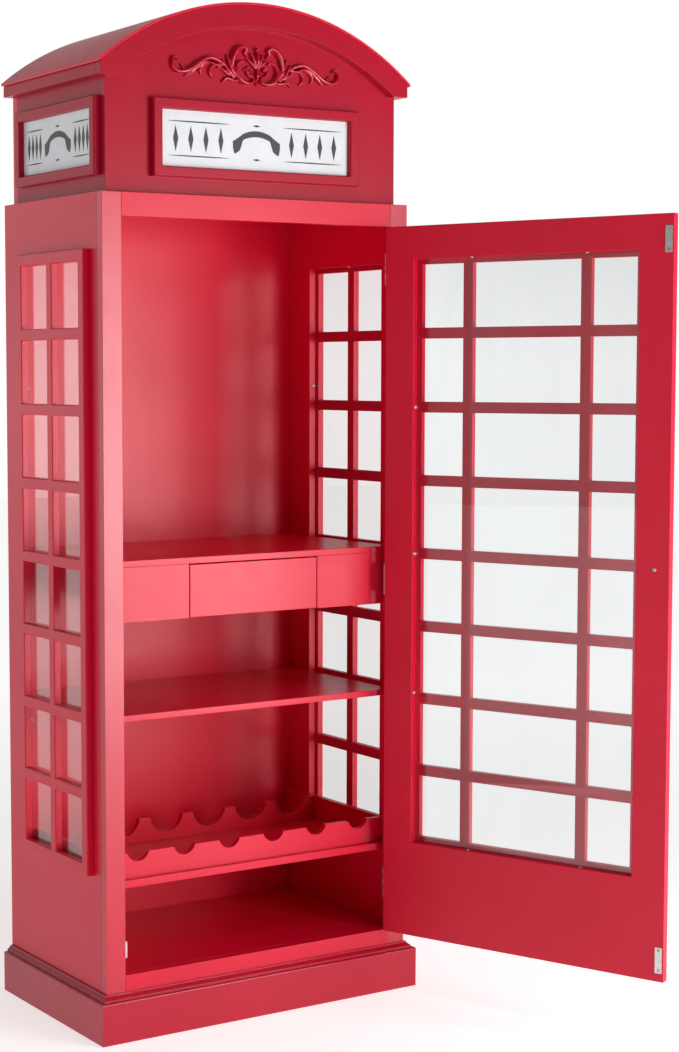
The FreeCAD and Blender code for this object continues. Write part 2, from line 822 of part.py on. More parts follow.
def door_lattice():
    """The raised lattice on the door's outer face: a narrow, a wide and a narrow column."""
    wide = "door_window_wide + 2 * (muntin - door_rebate)"
    x = "-door_window_near - door_window_wide - muntin + door_rebate"
    z = "door_window_low - window_border + door_rebate"
    tall = "door_window_high - door_window_low + 2 * (window_border - door_rebate)"
    pane = f"({tall} - 2 * window_border - {WINDOW_ROWS - 1} * muntin) / {WINDOW_ROWS}"
    body = new_body("door_lattice", x, DOOR_OUTER, z, on_door=True)
    sketch = new_sketch(body, "XZ_Plane")
    rectangle(sketch, "0", "0", wide, tall)
    pad(body, sketch, "lattice_proud")
    edge = "door_pane_edge"
    middle = f"{wide} - 4 * muntin - 2 * door_pane_edge"
    columns = [
        ("muntin", edge),
        (f"2 * muntin + {edge}", middle),
        (f"3 * muntin + {edge} + {middle}", edge),
    ]
    lattice_rows(body, "XZ_Plane", columns, pane)
    chamfer_face(body, "Y", -SIZES["lattice_proud"], "lattice_chamfer")


def door_glazing():
    (low_x, high_x), (low_z, high_z) = door_window()
    xs = f"{low_x} + glass_gap", f"{high_x} - glass_gap"
    zs = f"{low_z} + glass_gap", f"{high_z} - glass_gap"
    node(block(xs, (DOOR_OUTER, f"{DOOR_OUTER} + glass"), zs, on_door=True), "door_glass")
    y = f"{DOOR_OUTER} + glass + screw_head"
    screws = [glass_screw(x, y, z, axis) for x, z, axis in door_screw_spots()]
    swing_open(grouped(screws), "door_glass_screws")


def strike_plates_x():
    return "-strike_far", "-strike_far + strike_wide"


def strike_screw_spots():
    x = "-strike_far + strike_wide / 2"
    spots = []
    for low in ("strike_low", "strike_high"):
        spots.append((x, f"{low} + strike_screw_inset"))
        spots.append((x, f"{low} + strike_tall - strike_screw_inset"))
    return spots


def strike_plates():
    """The steel plates on the door's free edge that the magnets hold, and their screws."""
    ys = (DOOR_INNER, f"{DOOR_INNER} + strike_thick")
    xs = strike_plates_x()
    plates = []
    screws = []
    spots = strike_screw_spots()
    for number, low in enumerate(("strike_low", "strike_high")):
        plate = block(xs, ys, (low, f"{low} + strike_tall"))
        holes = [rod(x, f"{DOOR_INNER} - overcut", z, "strike_screw",
                     "strike_thick + 2 * overcut", (0, 1, 0))
                 for x, z in spots[2 * number:2 * number + 2]]
        plates.append(cut(plate, holes))
    for x, z in spots:
        head_piece = rod(x, DOOR_INNER, z, "strike_screw - strike_screw_play", "strike_thick", (0, 1, 0))
        shank = rod(x, f"{DOOR_INNER} - screw_bite", z, "screw_shank", "screw_bite", (0, 1, 0))
        screws.append(fused([head_piece, shank]))
    swing_open(grouped(plates), "strike_plates")
    screws.append(knob_screw())
    swing_open(grouped(screws), "door_screws")


def knob_screw():
    """The screw through the door that holds the knob, with its round head on the inside."""
    x, z = "-knob_from_pin", "knob_height"
    head_piece = rod(x, DOOR_INNER, z, "screw_head", "knob_screw_head", (0, 1, 0))
    shank = rod(x, f"{DOOR_OUTER} - knob_long / 2", z, "knob_screw",
                "knob_long / 2 + door_thick", (0, 1, 0))
    return fused([head_piece, shank])


def door_knob():
    """A turned knob on the outer face, bored for its screw."""
    body = new_body("door_knob", "-knob_from_pin", DOOR_OUTER, "knob_height", on_door=True)
    sketch = new_sketch(body, "XY_Plane")
    profile = [(f"knob_radius * {r}", f"-knob_long * {y}") for r, y in KNOB_PROFILE]
    profile[0] = (profile[0][0], "0")
    bore = [("0", "-knob_long"), ("0", "-knob_long / 2"), ("knob_screw", "-knob_long / 2"),
            ("knob_screw", "0")]
    outline(sketch, profile + bore)
    turned = body.newObject("PartDesign::Revolution", "door_knob_turned")
    turned.Profile = sketch
    turned.ReferenceAxis = (sketch, ["V_Axis"])
    turned.Angle = 360
    DOC.recompute()


def knuckles(side, number):
    """One hinge's round knuckles: three on the frame's leaf and two on the door's."""
    low = f"hinge_low + hinge_step * {number}"
    tall = f"hinge_tall / {KNUCKLES}"
    mine = range(0, KNUCKLES, 2) if side == "frame" else range(1, KNUCKLES, 2)
    x, y = ("0", "0") if side == "door" else (PIN_X, PIN_Y)
    return [rod(x, y, f"{low} + {tall} * {step} + knuckle_gap / 2", "knuckle_radius",
                f"{tall} - knuckle_gap", (0, 0, 1)) for step in mine]


def leaf(side, number):
    """A hinge leaf, notched so that it meets only its own knuckles."""
    low = f"hinge_low + hinge_step * {number}"
    high = f"{low} + hinge_tall"
    tall = f"hinge_tall / {KNUCKLES}"
    if side == "frame":
        xs, edge = (f"{OPENING} - leaf", OPENING), PIN_Y
    else:
        xs, edge = (DOOR_NEAR, f"{DOOR_NEAR} + leaf"), "0"
    plate = block(xs, (edge, f"{edge} + leaf_wide"), (low, high))
    theirs = range(1, KNUCKLES, 2) if side == "frame" else range(0, KNUCKLES, 2)
    gaps = [block((f"{xs[0]} - overcut", f"{xs[1]} + overcut"),
                  (f"{edge} - overcut", f"{edge} + knuckle_radius + knuckle_gap"),
                  (f"{low} + {tall} * {step} - knuckle_gap / 2",
                   f"{low} + {tall} * {step + 1} + knuckle_gap / 2")) for step in theirs]
    return cut(plate, gaps)


def hinges():
    """Three butt hinges: the frame's leaf carries the fixed pin, the door's leaf turns on it."""
    frame_side = []
    door_side = []
    for number in range(HINGES):
        low = f"hinge_low + hinge_step * {number}"
        pin = rod(PIN_X, PIN_Y, low, "pin_radius", "hinge_tall", (0, 0, 1))
        frame_side.append(fused([leaf("frame", number), pin] + knuckles("frame", number)))
        bore = rod("0", "0", f"{low} - overcut", "pin_radius + pin_clearance",
                   "hinge_tall + 2 * overcut", (0, 0, 1))
        turning = fused([leaf("door", number)] + knuckles("door", number))
        door_side.append(cut(turning, [bore]))
    node(grouped(frame_side), "hinge_frame_leaves")
    swing_open(grouped(door_side), "hinge_door_leaves")


def magnetic_catches():
    """Two magnetic catches behind the left post, opposite the door's strike plates."""
    catches = []
    for low, reach in (("strike_low", "catch_reach_low"), ("strike_high", "catch_reach_high")):
        middle = f"{low} + strike_tall / 2"
        zs = (f"{middle} - catch_tall / 2", f"{middle} + catch_tall / 2")
        flange = block((f"-({INNER})", f"-({OPENING})"), (FRAME_BACK, f"{FRAME_BACK} + leaf"), zs)
        case_y = f"{FRAME_BACK} + catch_clearance"
        case = block((f"-({OPENING}) - board / 2", f"{PIN_X} - strike_far + {reach}"),
                     (case_y, f"{case_y} + catch_case_deep"), zs)
        catches.append(fused([flange, case]))
    node(grouped(catches), "magnetic_catches")


# ---- feet ----

def foot_blocks_and_feet():
    """Corner blocks inside the plinth, each with a foot pressed into its underside."""
    blocks = []
    ends = {
        "front": (FRAME_BACK, f"{FRAME_BACK} + block_wide"),
        "back": (f"{PANEL_FRONT} - block_wide", PANEL_FRONT),
    }
    low = "foot_thick"
    for side, wide in both_sides(f"{INNER} - block_wide", INNER).items():
        for end, deep in ends.items():
            x = f"({wide[0]} + {wide[1]}) / 2"
            y = f"({deep[0]} + {deep[1]}) / 2"
            base = block(wide, deep, (low, f"{low} + block_tall"))
            bore = rod(x, y, f"{low} - overcut", "foot_stem", "block_tall + 2 * overcut",
                       (0, 0, 1))
            blocks.append(cut(base, [bore]))
            disc = rod(x, y, "0", "foot_radius", "foot_thick", (0, 0, 1))
            stem = rod(x, y, "foot_thick", "foot_stem", "foot_stem_top - foot_thick", (0, 0, 1))
            node(fused([disc, stem]), f"foot_{end}_{side}")
    node(grouped(blocks), "foot_blocks")


# ---- the whole cabinet ----

def check_and_write():
    """Refuses failed objects and bad shapes, then writes one file for each sub-part."""
    DOC.recompute()
    failed = [item.Name for item in DOC.Objects
              if "Invalid" in item.State or "Error" in item.State]
    if failed:
        raise RuntimeError(f"failed objects: {failed}")
    for piece in NODES:
        if piece.Shape.isNull() or not piece.Shape.isValid():
            raise RuntimeError(f"{piece.Label}: bad shape")
    os.makedirs("parts", exist_ok=True)
    for piece in NODES:
        piece.Shape.exportStep(f"parts/{piece.Label}.step")
    print(len(NODES), "sub-parts written")


fill_sheet()
plinth()
carcass()
head()
arch_fascia()
roof_sheet()
sign_frames()
sign_plates()
ornament()
side_windows()
shelf()
bottle_rack()
drawer_unit()
drawer()
door_board()
door_lattice()
door_glazing()
strike_plates()
door_knob()
hinges()
magnetic_catches()
foot_blocks_and_feet()
check_and_write()
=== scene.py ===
import json
import math

import bmesh
import bpy
from mathutils import Matrix, Vector

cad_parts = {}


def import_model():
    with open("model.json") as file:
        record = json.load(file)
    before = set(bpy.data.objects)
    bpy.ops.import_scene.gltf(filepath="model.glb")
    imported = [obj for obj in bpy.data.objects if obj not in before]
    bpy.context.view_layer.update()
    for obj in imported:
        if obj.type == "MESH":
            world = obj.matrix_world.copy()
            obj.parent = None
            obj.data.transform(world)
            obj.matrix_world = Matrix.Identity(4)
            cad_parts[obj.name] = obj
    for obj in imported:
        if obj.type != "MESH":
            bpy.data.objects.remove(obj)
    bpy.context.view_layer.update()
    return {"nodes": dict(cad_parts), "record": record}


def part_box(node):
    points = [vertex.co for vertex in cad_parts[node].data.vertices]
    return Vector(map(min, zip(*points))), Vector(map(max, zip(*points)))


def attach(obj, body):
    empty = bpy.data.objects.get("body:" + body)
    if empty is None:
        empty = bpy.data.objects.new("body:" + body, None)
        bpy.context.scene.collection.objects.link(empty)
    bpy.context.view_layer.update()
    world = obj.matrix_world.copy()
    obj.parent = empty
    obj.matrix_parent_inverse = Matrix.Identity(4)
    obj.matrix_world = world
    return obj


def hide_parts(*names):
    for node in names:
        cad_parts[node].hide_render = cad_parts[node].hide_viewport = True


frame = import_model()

MM = 0.001
NODES = frame["nodes"]
RECORD = frame["record"]
BODY_OF = {node: body for body, nodes in RECORD["behaviour"]["bodies"].items() for node in nodes}
DOOR_HINGE = next(j for j in RECORD["behaviour"]["joints"] if j["name"] == "door_hinge")
OPEN_ANGLE = math.radians(-DOOR_HINGE["range_deg"][0])
DOOR_PIN = Vector(DOOR_HINGE["pos_m"])


# ---- materials ----

class Tree:
    """A short way to write any node tree."""

    def __init__(self, tree):
        self.tree = tree

    def add(self, kind, **settings):
        node = self.tree.nodes.new(kind)
        for key, value in settings.items():
            setattr(node, key, value)
        return node

    def put(self, socket, value):
        if isinstance(value, bpy.types.NodeSocket):
            self.tree.links.new(value, socket)
        else:
            socket.default_value = value

    def span(self, value, low, high, to_low, to_high):
        """A value carried from one range to another, and held at the ends."""
        node = self.add("ShaderNodeMapRange")
        self.put(node.inputs["Value"], value)
        for name, number in zip(("From Min", "From Max", "To Min", "To Max"),
                                (low, high, to_low, to_high)):
            node.inputs[name].default_value = number
        return node.outputs["Result"]

    def sum(self, kind, first, second):
        """Two values put together by ADD, MULTIPLY or MAXIMUM."""
        node = self.add("ShaderNodeMath", operation=kind)
        self.put(node.inputs[0], first)
        self.put(node.inputs[1], second)
        return node.outputs["Value"]


class Nodes(Tree):
    """One material's nodes, with patterns placed by the piece's own coordinates."""

    def __init__(self, name):
        self.material = bpy.data.materials.new(name)
        self.material.use_nodes = True
        super().__init__(self.material.node_tree)
        self.shader = self.tree.nodes["Principled BSDF"]
        self.output = self.tree.nodes["Material Output"]
        self.place = self.add("ShaderNodeTexCoord").outputs["Object"]

    def noise(self, scale, detail=2.0, rough=0.5, stretch=None, warp=0.0):
        place = self.place
        if stretch:
            mapping = self.add("ShaderNodeMapping")
            self.put(mapping.inputs["Vector"], place)
            mapping.inputs["Scale"].default_value = stretch
            place = mapping.outputs["Vector"]
        node = self.add("ShaderNodeTexNoise")
        self.put(node.inputs["Vector"], place)
        node.inputs["Scale"].default_value = scale
        node.inputs["Detail"].default_value = detail
        node.inputs["Roughness"].default_value = rough
        node.inputs["Distortion"].default_value = warp
        return node.outputs["Fac"]

    def blend(self, share, first, second):
        node = self.add("ShaderNodeMix", data_type="RGBA")
        self.put(node.inputs["Factor"], share)
        self.put(node.inputs["A"], first)
        self.put(node.inputs["B"], second)
        return node.outputs["Result"]

    def edges(self, radius):
        """1 on an edge within the radius and 0 on a flat face."""
        soft = self.add("ShaderNodeBevel", samples=4)
        soft.inputs["Radius"].default_value = radius
        face = self.add("ShaderNodeNewGeometry")
        dot = self.add("ShaderNodeVectorMath", operation="DOT_PRODUCT")
        self.put(dot.inputs[0], soft.outputs["Normal"])
        self.put(dot.inputs[1], face.outputs["Normal"])
        return self.span(dot.outputs["Value"], 0.99, 0.8, 0.0, 1.0)

    def bump(self, height, depth, strength=1.0, under=None):
        node = self.add("ShaderNodeBump")
        node.inputs["Strength"].default_value = strength
        node.inputs["Distance"].default_value = depth
        self.put(node.inputs["Height"], height)
        if under is not None:
            self.put(node.inputs["Normal"], under)
        return node.outputs["Normal"]

    def shade(self, **inputs):
        for name, value in inputs.items():
            self.put(self.shader.inputs[name.replace("_", " ")], value)
        return self.material


def colour(red, green, blue):
    return (red, green, blue, 1.0)


def lacquer(name, base, deep, roughness, coat=0.0, gloss=0.4, streak=(1.0, 1.0, 1.0)):
    """Sprayed satin lacquer: faint clouding and sanding streaks, a fine skin, and edges painted
    paler, partly as rubbed paint and partly as a painted highlight.
    """
    n = Nodes(name)
    sanded = n.noise(150.0, 3.0, 0.6, streak)
    cloud = n.noise(2.3, 4.0, 0.55)
    speck = n.noise(38.0, 3.0, 0.6)
    peel = n.noise(650.0, 2.0, 0.5)
    body = n.blend(n.span(cloud, 0.3, 0.7, 0.0, 1.0), colour(*base), colour(*deep))
    # edges painted paler and pinker: partly rubbed thin paint, partly a painted highlight along
    # the rounded edges
    edge = n.edges(0.0016)
    worn_and_highlit = n.sum("MULTIPLY", edge, n.span(speck, 0.35, 0.65, 0.15, 0.6))
    pale = colour(min(1.0, base[0] * 1.25), base[1] * 3 + 0.02, base[2] * 2.4 + 0.02)
    handled = n.sum("ADD", n.span(cloud, 0.3, 0.7, -0.03, 0.03),
                    n.span(speck, 0.3, 0.7, -0.02, 0.02))
    handled = n.sum("ADD", handled, n.span(sanded, 0.2, 0.8, -0.015, 0.015))
    rough = n.sum("ADD", n.sum("ADD", handled, roughness), n.sum("MULTIPLY", edge, -0.05))
    skin = n.bump(peel, 0.00006, 0.35)
    skin = n.bump(speck, 0.0002, 0.06, skin)
    skin = n.bump(sanded, 0.00002, 0.05, skin)
    return n.shade(Base_Color=n.blend(worn_and_highlit, body, pale), Roughness=rough, Normal=skin,
                   Specular_IOR_Level=gloss, Coat_Weight=coat, Coat_Roughness=0.1, IOR=1.5)


def metal(name, base, roughness):
    """Plated or bare metal with a fine grain, faint stains, and edges painted brighter, partly as
    rubbed metal and partly as a painted highlight.
    """
    n = Nodes(name)
    grain = n.noise(420.0, 3.0, 0.6, (1.0, 1.0, 1.0))
    stain = n.noise(130.0, 3.0, 0.6)
    edge = n.edges(0.0006)
    body = n.blend(n.span(stain, 0.3, 0.75, 0.0, 1.0), colour(*base),
                   colour(*(part * 0.72 for part in base)))
    # edges painted near white: partly rubbed metal, partly a painted highlight
    body = n.blend(n.sum("MULTIPLY", edge, 0.6), body, colour(0.95, 0.94, 0.92))
    rough = n.sum("ADD", n.span(grain, 0.3, 0.7, -0.07, 0.09), roughness)
    return n.shade(Base_Color=body, Metallic=1.0, Roughness=rough,
                   Normal=n.bump(grain, 0.00004, 0.4))


def moulded(name, base, roughness):
    """Plastic or enamel with a fine skin, faint marks, and edges painted paler, partly as wear and
    partly as a painted highlight.
    """
    n = Nodes(name)
    skin = n.noise(900.0, 2.0, 0.5)
    mark = n.noise(22.0, 4.0, 0.6, warp=0.3)
    edge = n.edges(0.0008)
    body = n.blend(n.span(mark, 0.35, 0.7, 0.0, 1.0), colour(*base),
                   colour(*(part * 0.9 for part in base)))
    # edges painted paler: partly wear, partly a painted highlight
    body = n.blend(n.sum("MULTIPLY", edge, 0.35), body,
                   colour(*(min(1.0, part * 1.15 + 0.03) for part in base)))
    rough = n.sum("ADD", n.span(mark, 0.3, 0.7, -0.05, 0.07), roughness)
    return n.shade(Base_Color=body, Roughness=rough, Normal=n.bump(skin, 0.00005, 0.35))


def timber(name, pale, dark):
    """Bare softwood with rings and fibres that run along Y."""
    n = Nodes(name)
    ring = n.noise(26.0, 4.0, 0.55, (1.0, 0.12, 0.9), 1.2)
    fibre = n.noise(340.0, 3.0, 0.6, (1.0, 0.06, 1.0))
    body = n.blend(n.span(ring, 0.4, 0.6, 0.0, 1.0), colour(*pale), colour(*dark))
    body = n.blend(n.span(fibre, 0.5, 0.8, 0.0, 0.5), body, colour(*(p * 0.6 for p in dark)))
    rough = n.span(fibre, 0.3, 0.7, 0.5, 0.75)
    return n.shade(Base_Color=body, Roughness=rough, Normal=n.bump(fibre, 0.0003, 0.5))


def pane(name):
    """Clear float glass with faint smears. Lamps and soft light pass straight through it."""
    n = Nodes(name)
    smear = n.noise(9.0, 4.0, 0.6, (1.0, 1.0, 0.35), 0.8)
    wave = n.noise(14.0, 1.0, 0.4)
    n.shade(Base_Color=n.blend(n.span(smear, 0.4, 0.8, 0.0, 1.0), colour(0.93, 0.955, 0.95),
                               colour(0.89, 0.91, 0.91)),
            Roughness=n.span(smear, 0.45, 0.8, 0.0, 0.05), IOR=1.62, Transmission_Weight=1.0,
            Normal=n.bump(wave, 0.0002, 0.1))
    clear = n.add("ShaderNodeBsdfTransparent")
    clear.inputs["Color"].default_value = colour(0.9, 0.92, 0.92)
    ray = n.add("ShaderNodeLightPath")
    mix = n.add("ShaderNodeMixShader")
    n.put(mix.inputs[0], n.sum("MAXIMUM", ray.outputs["Is Shadow Ray"],
                               ray.outputs["Is Diffuse Ray"]))
    n.put(mix.inputs[1], n.shader.outputs["BSDF"])
    n.put(mix.inputs[2], clear.outputs["BSDF"])
    n.put(n.output.inputs["Surface"], mix.outputs["Shader"])
    return n.material


RED_PAIR = (0.76, 0.003, 0.036), (0.68, 0.002, 0.03)
ALONG_Z = (1.0, 1.0, 0.03)
ACROSS_Z = (0.03, 0.03, 1.0)
RED = lacquer("red_lacquer", *RED_PAIR, 0.34)
UPRIGHT = lacquer("red_lacquer_upright", *RED_PAIR, 0.34, streak=ALONG_Z)
LEVEL = lacquer("red_lacquer_level", *RED_PAIR, 0.34, streak=ACROSS_Z)
# the same red lacquer painted darker for the head, eaves, fascia and sign frames: painted shade
# for the less lit top
HEAD_SHADED = lacquer("red_lacquer_head_painted_shade", (0.44, 0.003, 0.024), (0.38, 0.0025, 0.02), 0.34,
               gloss=0.24, streak=ACROSS_Z)
# the same red lacquer painted darker on the plinth: painted shade
PLINTH_SHADED = lacquer("red_lacquer_plinth_painted_shade", (0.52, 0.003, 0.028), (0.46, 0.0025, 0.023), 0.3,
                 coat=0.25, gloss=0.3, streak=ACROSS_Z)
# the same red lacquer painted darker on the posts, with a stronger reflection: painted shade
POST_SHADED = lacquer("red_lacquer_post_painted_shade", (0.66, 0.003, 0.034), (0.6, 0.0025, 0.029), 0.3, gloss=0.7,
               streak=ALONG_Z)
CARVED = lacquer("red_carving", (0.50, 0.003, 0.024), (0.43, 0.0025, 0.019), 0.2, coat=0.6)
GLASS = pane("clear_glass")
WHITE = moulded("white_plate", (0.80, 0.82, 0.85), 0.22)
INK = moulded("dark_inlay", (0.035, 0.036, 0.04), 0.4)
NICKEL = metal("nickel", (0.72, 0.71, 0.69), 0.24)
SCREW = metal("screw_steel", (0.62, 0.61, 0.6), 0.28)
PLASTIC = moulded("catch_plastic", (0.72, 0.71, 0.68), 0.3)
RUBBER = moulded("foot_plastic", (0.03, 0.03, 0.032), 0.5)
WOOD = timber("bare_wood", (0.60, 0.43, 0.25), (0.42, 0.26, 0.13))
FOR_SLOT = {"red_lacquer": RED, "clear_glass": GLASS, "white_plate": WHITE, "nickel": NICKEL,
            "catch_plastic": PLASTIC, "bare_wood": WOOD, "foot_plastic": RUBBER}
BOARDS_OF = (
    (POST_SHADED, ("post_left", "post_right")),
    (PLINTH_SHADED, ("plinth_front", "plinth_left", "plinth_right")),
    (UPRIGHT, ("side_panel_left", "side_panel_right", "door_board", "window_lattice_left",
               "window_lattice_right", "door_lattice")),
    (LEVEL, ("rail_top", "rail_bottom", "apron_left", "apron_right", "drawer_front",
             "rack_front_rail")),
    (HEAD_SHADED, ("head_front", "head_side_left", "head_side_right", "arch_fascia", "eave_left",
            "eave_right", "sign_frame_front", "sign_frame_left", "sign_frame_right")),
)
LOOK_OF = {board: look for look, boards in BOARDS_OF for board in boards}
SLOT_OF = {part["node"]: part["material_slot"] for part in RECORD["subparts"]}

for name, node in NODES.items():
    node.data.materials.clear()
    node.data.materials.append(FOR_SLOT[SLOT_OF[name]])


# ---- pieces ----

WELD = 1e-6        # points nearer than this are one point
FLAT_ANGLE = math.radians(0.5)
SHARP_ANGLE = math.radians(28.0)
SHORTEST_EASED = 0.002


def finished(name, mesh, material, body, stands_for=()):
    """Puts a mesh into the scene as a piece on a body."""
    mesh.materials.clear()
    mesh.materials.append(material)
    piece = bpy.data.objects.new(name, mesh)
    bpy.context.scene.collection.objects.link(piece)
    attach(piece, body)
    if stands_for:
        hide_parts(*stands_for)
    return piece


def mesh_from(bm, name, smooth=True):
    """Turns a working mesh into a finished one and frees it."""
    mesh = bpy.data.meshes.new(name)
    for face in bm.faces:
        face.smooth = smooth
    bm.to_mesh(mesh)
    bm.free()
    return mesh


def eased(name, width):
    """A CAD board with its sharp edges rounded over, as a sanded and sprayed board has them."""
    bm = bmesh.new()
    bm.from_mesh(NODES[name].data)
    bmesh.ops.remove_doubles(bm, verts=bm.verts, dist=WELD)
    bmesh.ops.dissolve_limit(bm, angle_limit=FLAT_ANGLE, verts=bm.verts, edges=bm.edges)
    layer = bm.edges.layers.float.new("bevel_weight_edge")
    for edge in bm.edges:
        if len(edge.link_faces) == 2 and edge.calc_face_angle(0.0) > SHARP_ANGLE:
            if edge.calc_length() > SHORTEST_EASED:
                edge[layer] = 1.0
            else:
                edge.smooth = False
    look = LOOK_OF.get(name, FOR_SLOT[SLOT_OF[name]])
    piece = finished(f"{name}_eased", mesh_from(bm, f"{name}_eased"), look,
                     BODY_OF[name], (name,))
    bevel = piece.modifiers.new("eased", "BEVEL")
    bevel.limit_method = "WEIGHT"
    bevel.width = width
    bevel.segments = 2
    bevel.use_clamp_overlap = False
    flat = piece.modifiers.new("flat", "WEIGHTED_NORMAL")
    flat.mode = "FACE_AREA"
    flat.weight = 100
    flat.keep_sharp = True


# How far each board's edges are eased, in millimetres.
EASED = {
    "plinth_front": 0.3, "plinth_left": 0.3, "plinth_right": 0.3,
    "side_panel_left": 0.6, "side_panel_right": 0.6, "post_left": 0.8, "post_right": 0.8,
    "rail_top": 0.9, "rail_bottom": 0.8, "floor_panel": 0.4,
    "head_front": 0.6, "head_side_left": 0.5, "head_side_right": 0.5, "head_back": 0.6,
    "eave_left": 0.6, "eave_right": 0.6, "arch_fascia": 0.6, "roof_sheet": 0.7,
    "sign_frame_front": 0.4, "sign_frame_left": 0.4, "sign_frame_right": 0.4,
    "window_lattice_left": 0.4, "window_lattice_right": 0.4,
    "shelf": 0.8, "rack_board": 0.8, "rack_front_rail": 0.8, "rack_back_rail": 0.8,
    "rack_sides": 0.5, "worktop": 0.8, "apron_left": 0.5, "apron_right": 0.5,
    "drawer_front": 0.9, "drawer_side_left": 0.6, "drawer_side_right": 0.6,
    "drawer_back": 0.6, "drawer_runners": 0.4,
    "door_board": 0.9, "door_lattice": 0.4, "back_panel": 0.5, "sign_plates": 0.25,
}
for name, width in EASED.items():
    eased(name, width * MM)


# ---- carved ornament ----

RIDGE_CORNERS = 10
WIDENED = 1.2        # ridges are carved this much wider than their lines say
THINNEST = 0.8
CARVING_VOXEL = 0.0009


def smooth_path(points, steps=7):
    """A rounded line through points, each with its own width and height."""
    rows = [points[0]] + list(points) + [points[-1]]
    path = []
    for before, start, end, after in zip(rows, rows[1:], rows[2:], rows[3:]):
        for step in range(steps):
            t = step / steps
            path.append([0.5 * (2 * b + (c - a) * t + (2 * a - 5 * b + 4 * c - d) * t ** 2
                                + (3 * b - a - 3 * c + d) * t ** 3)
                         for a, b, c, d in zip(before, start, end, after)])
    path.append(list(points[-1]))
    return path


def ridge(bm, points, side, wall, low):
    """A carved ridge: a closed tube along a line on the wall, as wide and as proud as it says."""
    path = smooth_path(points)
    rings = []
    for index, (x, z, wide, proud) in enumerate(path):
        x0, z0 = path[max(index - 1, 0)][:2]
        x1, z1 = path[min(index + 1, len(path) - 1)][:2]
        along = Vector((side * (x1 - x0), 0, z1 - z0)).normalized()
        across = along.cross(Vector((0, 1, 0)))
        centre = Vector((side * x * MM, wall, low + z * MM))
        ring = []
        for corner in range(RIDGE_CORNERS):
            turn = 2 * math.pi * corner / RIDGE_CORNERS
            reach = across * math.cos(turn) * max(wide * WIDENED, THINNEST) * MM
            rise = Vector((0, 1, 0)) * math.sin(turn) * max(proud, THINNEST) * MM
            ring.append(bm.verts.new(centre + reach - rise))
        rings.append(ring)
    for near, far in zip(rings, rings[1:]):
        for corner in range(RIDGE_CORNERS):
            after = (corner + 1) % RIDGE_CORNERS
            bm.faces.new((near[corner], near[after], far[after], far[corner]))
    bm.faces.new(rings[0][::-1])
    bm.faces.new(rings[-1])


def bead(bm, x, z, radius, proud, side, wall, low):
    """A carved berry: a flattened ball on the wall."""
    made = bmesh.ops.create_uvsphere(bm, u_segments=14, v_segments=10, radius=1.0)
    size = Matrix.Diagonal((radius * MM, proud * MM, radius * MM, 1.0))
    place = Matrix.Translation((side * x * MM, wall, low + z * MM))
    bmesh.ops.transform(bm, matrix=place @ size, verts=made["verts"])


# Half of the carving, in millimetres from the middle of its lower edge: x, z, half width, height.
RIDGES = [
    # lower scroll with its curled end
    [(13, 31, 2.5, 7), (18, 35, 2.6, 7), (23, 30, 2.6, 8), (19, 20, 2.4, 8), (10, 17, 2.2, 9),
     (9, 9, 2.6, 10), (22, 5, 3.6, 12), (38, 11, 4.4, 13), (46, 27, 4.2, 12), (41, 41, 3.2, 10),
     (30, 45, 2.2, 8), (24, 42, 1.2, 6)],
    # upper scroll
    [(22, 57, 1.8, 7), (27, 60, 2.2, 8), (24, 67, 2.8, 10), (32, 71, 3.6, 12), (44, 66, 4.4, 13),
     (53, 52, 4.4, 12), (55, 36, 3.6, 10), (50, 22, 2.6, 8), (41, 12, 1.6, 6)],
    # petals of the middle leaf
    [(0, 34, 1.6, 8), (0, 46, 3.2, 12), (0, 56, 3.4, 12), (0, 62, 1.8, 9)],
    [(2, 34, 1.4, 7), (7, 46, 2.6, 10), (10, 55, 2.8, 10), (14, 60, 1.6, 8)],
    [(4, 33, 1.2, 7), (12, 42, 2.2, 8), (19, 47, 2.2, 8), (22, 49, 1.2, 6)],
    # root under the petals
    [(0, 12, 1.4, 6), (0, 20, 2.6, 10), (0, 29, 2.2, 9), (0, 35, 1.6, 8)],
    # blades of the side leaf
    [(46, 16, 2.2, 8), (56, 28, 3.0, 10), (62, 42, 2.8, 10), (66, 55, 1.2, 6)],
    [(50, 13, 2.2, 8), (62, 24, 3.0, 10), (70, 36, 2.6, 9), (76, 46, 1.0, 5)],
    [(40, 9, 1.6, 6), (54, 9, 2.6, 8), (66, 12, 2.6, 8), (74, 6, 1.6, 6), (76, 3, 1.0, 4)],
    [(60, 17, 1.6, 7), (72, 25, 2.4, 8), (80, 30, 2.0, 7), (86, 29, 1.0, 5)],
    # long arm with its ridge and curled end
    [(68, 32, 1.8, 8), (84, 42, 3.2, 10), (104, 46, 3.6, 11), (124, 37, 4.0, 12),
     (146, 22, 4.2, 12), (164, 17, 3.8, 11), (178, 21, 3.4, 10), (183, 33, 2.6, 9),
     (178, 43, 2.2, 8), (172, 41, 1.4, 6)],
    [(90, 36, 1.0, 6), (110, 38, 1.6, 9), (128, 28, 1.8, 9), (144, 15, 1.6, 7), (156, 10, 1.0, 5)],
    # small leaves under the arm
    [(76, 34, 1.6, 6), (92, 34, 2.2, 8), (102, 26, 2.6, 8), (101, 15, 2.0, 7), (94, 11, 1.2, 5)],
    [(102, 38, 1.4, 6), (116, 33, 2.2, 8), (124, 23, 2.2, 7), (120, 14, 1.2, 5)],
    [(150, 18, 1.4, 6), (160, 26, 1.8, 6), (164, 32, 1.0, 5)],
]
# Berries of the same half, in millimetres: x, z, radius, height.
BEADS = [(14.5, 31, 4.2, 10), (22.5, 56, 3.6, 9), (0, 68, 5.0, 10.5), (0, 5.5, 3.6, 8),
         (171, 40, 2.8, 8), (28, 30, 2.0, 5), (9, 24, 2.0, 6)]


